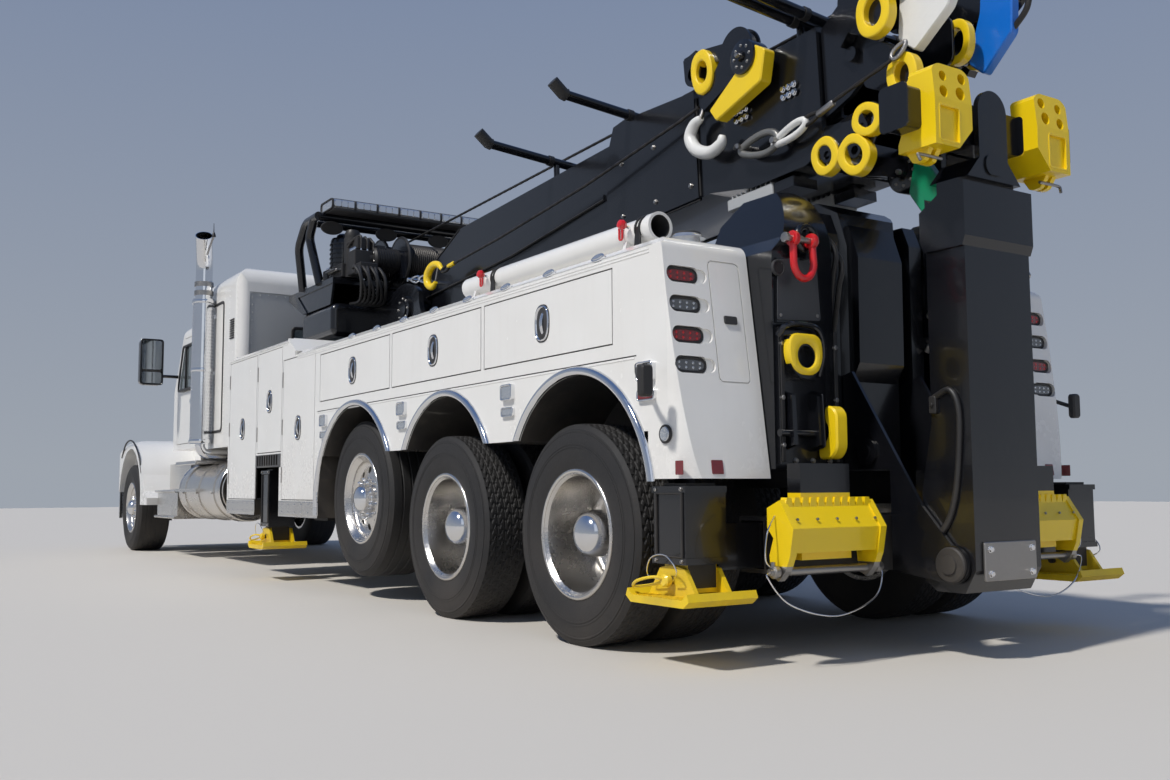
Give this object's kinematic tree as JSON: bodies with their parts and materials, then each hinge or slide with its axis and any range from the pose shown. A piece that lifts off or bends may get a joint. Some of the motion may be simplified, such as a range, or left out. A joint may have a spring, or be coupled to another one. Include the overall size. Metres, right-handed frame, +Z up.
{
  "type": "heavy rotator tow truck",
  "caption": "Long-nose heavy tow truck with sleeper cab, locker bodies, slewing recovery boom, outriggers and a folding underlift.",
  "frame": {"origin": "on the ground under the middle of the truck: bottom centre of the bounding box", "axes": "+X forward to the front bumper, +Y to the driver's side (left), +Z up"},
  "size_m": [12.502, 2.93, 3.2997],
  "materials": {
    "black_paint": "gloss black paint",
    "white_paint": "gloss white paint",
    "window_glass": "clear glass",
    "cab_trim": "dark cab trim",
    "frame_steel": "satin black chassis paint",
    "cast_iron": "cast iron",
    "polished_metal": "polished",
    "yellow_paint": "gloss safety yellow paint",
    "lamp_lens": "lamp lens",
    "polished_aluminium": "polished aluminium",
    "tyre_rubber": "road tyre"
  },
  "bodies": {
    "chassis": {"chassis_frame": "frame_steel", "engine_block": "cast_iron", "front_bumper": "polished_metal", "tanks_and_steps": "polished_aluminium", "cab_shell": "white_paint", "sleeper_shell": "white_paint", "cab_glass": "window_glass", "cab_interior": "cab_trim", "exhaust_stacks": "polished_metal", "body_left": "white_paint", "body_right": "white_paint", "wheel_flares": "polished_metal", "body_deck": "black_paint", "tail_frame": "black_paint", "tail_lamps": "lamp_lens"},
    "knuckle_left": {"knuckle_left": "cast_iron"},
    "knuckle_right": {"knuckle_right": "cast_iron"},
    "wheel_front_left": {"wheel_front_left": "tyre_rubber"},
    "wheel_front_right": {"wheel_front_right": "tyre_rubber"},
    "wheel_pusher_left": {"wheel_pusher_left": "tyre_rubber"},
    "wheel_pusher_right": {"wheel_pusher_right": "tyre_rubber"},
    "wheel_drive_front_left": {"wheel_drive_front_left": "tyre_rubber"},
    "wheel_drive_front_right": {"wheel_drive_front_right": "tyre_rubber"},
    "wheel_drive_rear_left": {"wheel_drive_rear_left": "tyre_rubber"},
    "wheel_drive_rear_right": {"wheel_drive_rear_right": "tyre_rubber"},
    "cab_door_left": {"cab_door_left": "white_paint"},
    "cab_door_right": {"cab_door_right": "white_paint"},
    "hood": {"hood": "white_paint", "grille": "polished_metal"},
    "door_tall_rear_left": {"door_tall_rear_left": "white_paint"},
    "door_tall_rear_right": {"door_tall_rear_right": "white_paint"},
    "door_tall_middle_left": {"door_tall_middle_left": "white_paint"},
    "door_tall_middle_right": {"door_tall_middle_right": "white_paint"},
    "door_tall_front_left": {"door_tall_front_left": "white_paint"},
    "door_tall_front_right": {"door_tall_front_right": "white_paint"},
    "door_upper_rear_left": {"door_upper_rear_left": "white_paint"},
    "door_upper_rear_right": {"door_upper_rear_right": "white_paint"},
    "door_upper_middle_left": {"door_upper_middle_left": "white_paint"},
    "door_upper_middle_right": {"door_upper_middle_right": "white_paint"},
    "door_upper_front_left": {"door_upper_front_left": "white_paint"},
    "door_upper_front_right": {"door_upper_front_right": "white_paint"},
    "turret": {"turret": "black_paint"},
    "boom": {"boom": "black_paint"},
    "boom_inner": {"boom_inner": "black_paint"},
    "lift_barrels": {"lift_barrels": "black_paint"},
    "lift_rods": {"lift_rods": "black_paint"},
    "underlift_column": {"underlift_column": "black_paint"},
    "underlift_boom": {"underlift_boom": "black_paint"},
    "underlift_stinger": {"underlift_stinger": "black_paint"},
    "crossbar": {"crossbar": "black_paint"},
    "outrigger_beam_middle_left": {"outrigger_beam_middle_left": "black_paint"},
    "outrigger_leg_middle_left": {"outrigger_leg_middle_left": "yellow_paint"},
    "outrigger_beam_middle_right": {"outrigger_beam_middle_right": "black_paint"},
    "outrigger_leg_middle_right": {"outrigger_leg_middle_right": "yellow_paint"},
    "outrigger_beam_rear_left": {"outrigger_beam_rear_left": "black_paint"},
    "outrigger_leg_rear_left": {"outrigger_leg_rear_left": "yellow_paint"},
    "outrigger_beam_rear_right": {"outrigger_beam_rear_right": "black_paint"},
    "outrigger_leg_rear_right": {"outrigger_leg_rear_right": "yellow_paint"},
    "spade_left": {"spade_left": "yellow_paint"},
    "spade_right": {"spade_right": "yellow_paint"}
  },
  "joints": [
    {"name": "steer_left", "type": "hinge", "parent": "chassis", "child": "knuckle_left", "pos_m": [5.375, 0.888, 0.52], "axis": [0, 0, 1], "range_deg": [-34, 34]},
    {"name": "steer_right", "type": "hinge", "parent": "chassis", "child": "knuckle_right", "pos_m": [5.375, -0.888, 0.52], "axis": [0, 0, 1], "range_deg": [-34, 34]},
    {"name": "spin_front_left", "type": "hinge", "parent": "knuckle_left", "child": "wheel_front_left", "pos_m": [5.375, 1.05, 0.52], "axis": [0, 1, 0], "continuous": true},
    {"name": "spin_front_right", "type": "hinge", "parent": "knuckle_right", "child": "wheel_front_right", "pos_m": [5.375, -1.05, 0.52], "axis": [0, 1, 0], "continuous": true},
    {"name": "spin_pusher_left", "type": "hinge", "parent": "chassis", "child": "wheel_pusher_left", "pos_m": [-2.015, 1.025, 0.664], "axis": [0, 1, 0], "continuous": true},
    {"name": "spin_pusher_right", "type": "hinge", "parent": "chassis", "child": "wheel_pusher_right", "pos_m": [-2.015, -1.025, 0.664], "axis": [0, 1, 0], "continuous": true},
    {"name": "spin_drive_front_left", "type": "hinge", "parent": "chassis", "child": "wheel_drive_front_left", "pos_m": [-3.385, 0.94, 0.512], "axis": [0, 1, 0], "continuous": true},
    {"name": "spin_drive_front_right", "type": "hinge", "parent": "chassis", "child": "wheel_drive_front_right", "pos_m": [-3.385, -0.94, 0.512], "axis": [0, 1, 0], "continuous": true},
    {"name": "spin_drive_rear_left", "type": "hinge", "parent": "chassis", "child": "wheel_drive_rear_left", "pos_m": [-4.755, 0.94, 0.512], "axis": [0, 1, 0], "continuous": true},
    {"name": "spin_drive_rear_right", "type": "hinge", "parent": "chassis", "child": "wheel_drive_rear_right", "pos_m": [-4.755, -0.94, 0.512], "axis": [0, 1, 0], "continuous": true},
    {"name": "open_cab_door_left", "type": "hinge", "parent": "chassis", "child": "cab_door_left", "pos_m": [4.038, 1.01, 1.7], "axis": [0, 0, -1], "range_deg": [0, 70]},
    {"name": "open_cab_door_right", "type": "hinge", "parent": "chassis", "child": "cab_door_right", "pos_m": [4.038, -1.01, 1.7], "axis": [0, 0, 1], "range_deg": [0, 70]},
    {"name": "tilt_hood", "type": "hinge", "parent": "chassis", "child": "hood", "pos_m": [6.067, 0, 0.8], "axis": [0, 1, 0], "range_deg": [0, 62]},
    {"name": "open_tall_rear_left", "type": "hinge", "parent": "chassis", "child": "door_tall_rear_left", "pos_m": [-0.587, 1.28, 1.19], "axis": [0, 0, -1], "range_deg": [0, 95]},
    {"name": "open_tall_rear_right", "type": "hinge", "parent": "chassis", "child": "door_tall_rear_right", "pos_m": [-0.587, -1.28, 1.19], "axis": [0, 0, 1], "range_deg": [0, 95]},
    {"name": "open_tall_middle_left", "type": "hinge", "parent": "chassis", "child": "door_tall_middle_left", "pos_m": [0.068, 1.28, 1.435], "axis": [0, 0, -1], "range_deg": [0, 95]},
    {"name": "open_tall_middle_right", "type": "hinge", "parent": "chassis", "child": "door_tall_middle_right", "pos_m": [0.068, -1.28, 1.435], "axis": [0, 0, 1], "range_deg": [0, 95]},
    {"name": "open_tall_front_left", "type": "hinge", "parent": "chassis", "child": "door_tall_front_left", "pos_m": [0.898, 1.28, 1.2475], "axis": [0, 0, -1], "range_deg": [0, 95]},
    {"name": "open_tall_front_right", "type": "hinge", "parent": "chassis", "child": "door_tall_front_right", "pos_m": [0.898, -1.28, 1.2475], "axis": [0, 0, 1], "range_deg": [0, 95]},
    {"name": "open_upper_rear_left", "type": "hinge", "parent": "chassis", "child": "door_upper_rear_left", "pos_m": [-4.535, 1.28, 1.357], "axis": [-1, 0, 0], "range_deg": [0, 90]},
    {"name": "open_upper_rear_right", "type": "hinge", "parent": "chassis", "child": "door_upper_rear_right", "pos_m": [-4.535, -1.28, 1.357], "axis": [1, 0, 0], "range_deg": [0, 90]},
    {"name": "open_upper_middle_left", "type": "hinge", "parent": "chassis", "child": "door_upper_middle_left", "pos_m": [-3.3025, 1.28, 1.357], "axis": [-1, 0, 0], "range_deg": [0, 90]},
    {"name": "open_upper_middle_right", "type": "hinge", "parent": "chassis", "child": "door_upper_middle_right", "pos_m": [-3.3025, -1.28, 1.357], "axis": [1, 0, 0], "range_deg": [0, 90]},
    {"name": "open_upper_front_left", "type": "hinge", "parent": "chassis", "child": "door_upper_front_left", "pos_m": [-2.045, 1.28, 1.357], "axis": [-1, 0, 0], "range_deg": [0, 90]},
    {"name": "open_upper_front_right", "type": "hinge", "parent": "chassis", "child": "door_upper_front_right", "pos_m": [-2.045, -1.28, 1.357], "axis": [1, 0, 0], "range_deg": [0, 90]},
    {"name": "slew_turret", "type": "hinge", "parent": "chassis", "child": "turret", "pos_m": [-1.755, 0, 1.55], "axis": [0, 0, 1], "range_deg": [-120, 120]},
    {"name": "luff_boom", "type": "hinge", "parent": "turret", "child": "boom", "pos_m": [-1.005, 0, 2.15], "axis": [0, 1, 0], "range_deg": [0, 60]},
    {"name": "extend_boom", "type": "slide", "parent": "boom", "child": "boom_inner", "axis": [-0.9986, 0, 0.0523], "range_m": [0, 2.2]},
    {"name": "swing_lift_cylinders", "type": "hinge", "parent": "turret", "child": "lift_barrels", "pos_m": [-1.425, 0, 1.795], "axis": [0, 1, 0], "range_deg": [-1, 64]},
    {"name": "stroke_lift_cylinders", "type": "slide", "parent": "lift_barrels", "child": "lift_rods", "axis": [-0.9759, 0, 0.218], "range_m": [-0.005, 0.567]},
    {"name": "lift_underlift", "type": "slide", "parent": "chassis", "child": "underlift_column", "axis": [0, 0, 1], "range_m": [-0.18, 0]},
    {"name": "fold_underlift", "type": "hinge", "parent": "underlift_column", "child": "underlift_boom", "pos_m": [-6.08, 0, 0.4], "axis": [0, -1, 0], "range_deg": [0, 90]},
    {"name": "extend_underlift", "type": "slide", "parent": "underlift_boom", "child": "underlift_stinger", "axis": [0, 0, 1], "range_m": [0, 0.8]},
    {"name": "swing_crossbar", "type": "hinge", "parent": "underlift_stinger", "child": "crossbar", "pos_m": [-6.08, 0, 2.27], "axis": [1, 0, 0], "range_deg": [-20, 20]},
    {"name": "extend_outrigger_middle_left", "type": "slide", "parent": "chassis", "child": "outrigger_beam_middle_left", "axis": [0, 1, 0], "range_m": [0, 1.2]},
    {"name": "lower_leg_middle_left", "type": "slide", "parent": "outrigger_beam_middle_left", "child": "outrigger_leg_middle_left", "axis": [0, 0, -1], "range_m": [0, 0.3]},
    {"name": "extend_outrigger_middle_right", "type": "slide", "parent": "chassis", "child": "outrigger_beam_middle_right", "axis": [0, -1, 0], "range_m": [0, 1.2]},
    {"name": "lower_leg_middle_right", "type": "slide", "parent": "outrigger_beam_middle_right", "child": "outrigger_leg_middle_right", "axis": [0, 0, -1], "range_m": [0, 0.3]},
    {"name": "extend_outrigger_rear_left", "type": "slide", "parent": "chassis", "child": "outrigger_beam_rear_left", "axis": [0, 1, 0], "range_m": [0, 1.2]},
    {"name": "lower_leg_rear_left", "type": "slide", "parent": "outrigger_beam_rear_left", "child": "outrigger_leg_rear_left", "axis": [0, 0, -1], "range_m": [0, 0.3]},
    {"name": "extend_outrigger_rear_right", "type": "slide", "parent": "chassis", "child": "outrigger_beam_rear_right", "axis": [0, -1, 0], "range_m": [0, 1.2]},
    {"name": "lower_leg_rear_right", "type": "slide", "parent": "outrigger_beam_rear_right", "child": "outrigger_leg_rear_right", "axis": [0, 0, -1], "range_m": [0, 0.3]},
    {"name": "lower_spade_left", "type": "slide", "parent": "chassis", "child": "spade_left", "axis": [0, 0, -1], "range_m": [0, 0.34]},
    {"name": "lower_spade_right", "type": "slide", "parent": "chassis", "child": "spade_right", "axis": [0, 0, -1], "range_m": [0, 0.34]}
  ],
  "couplings": [
    {"joint": "steer_right", "follows": "steer_left", "ratio": 1},
    {"joint": "swing_lift_cylinders", "follows": "luff_boom", "ratio": 1.0335},
    {"joint": "stroke_lift_cylinders", "follows": "luff_boom", "m_per_rad": 0.5222}
  ]
}
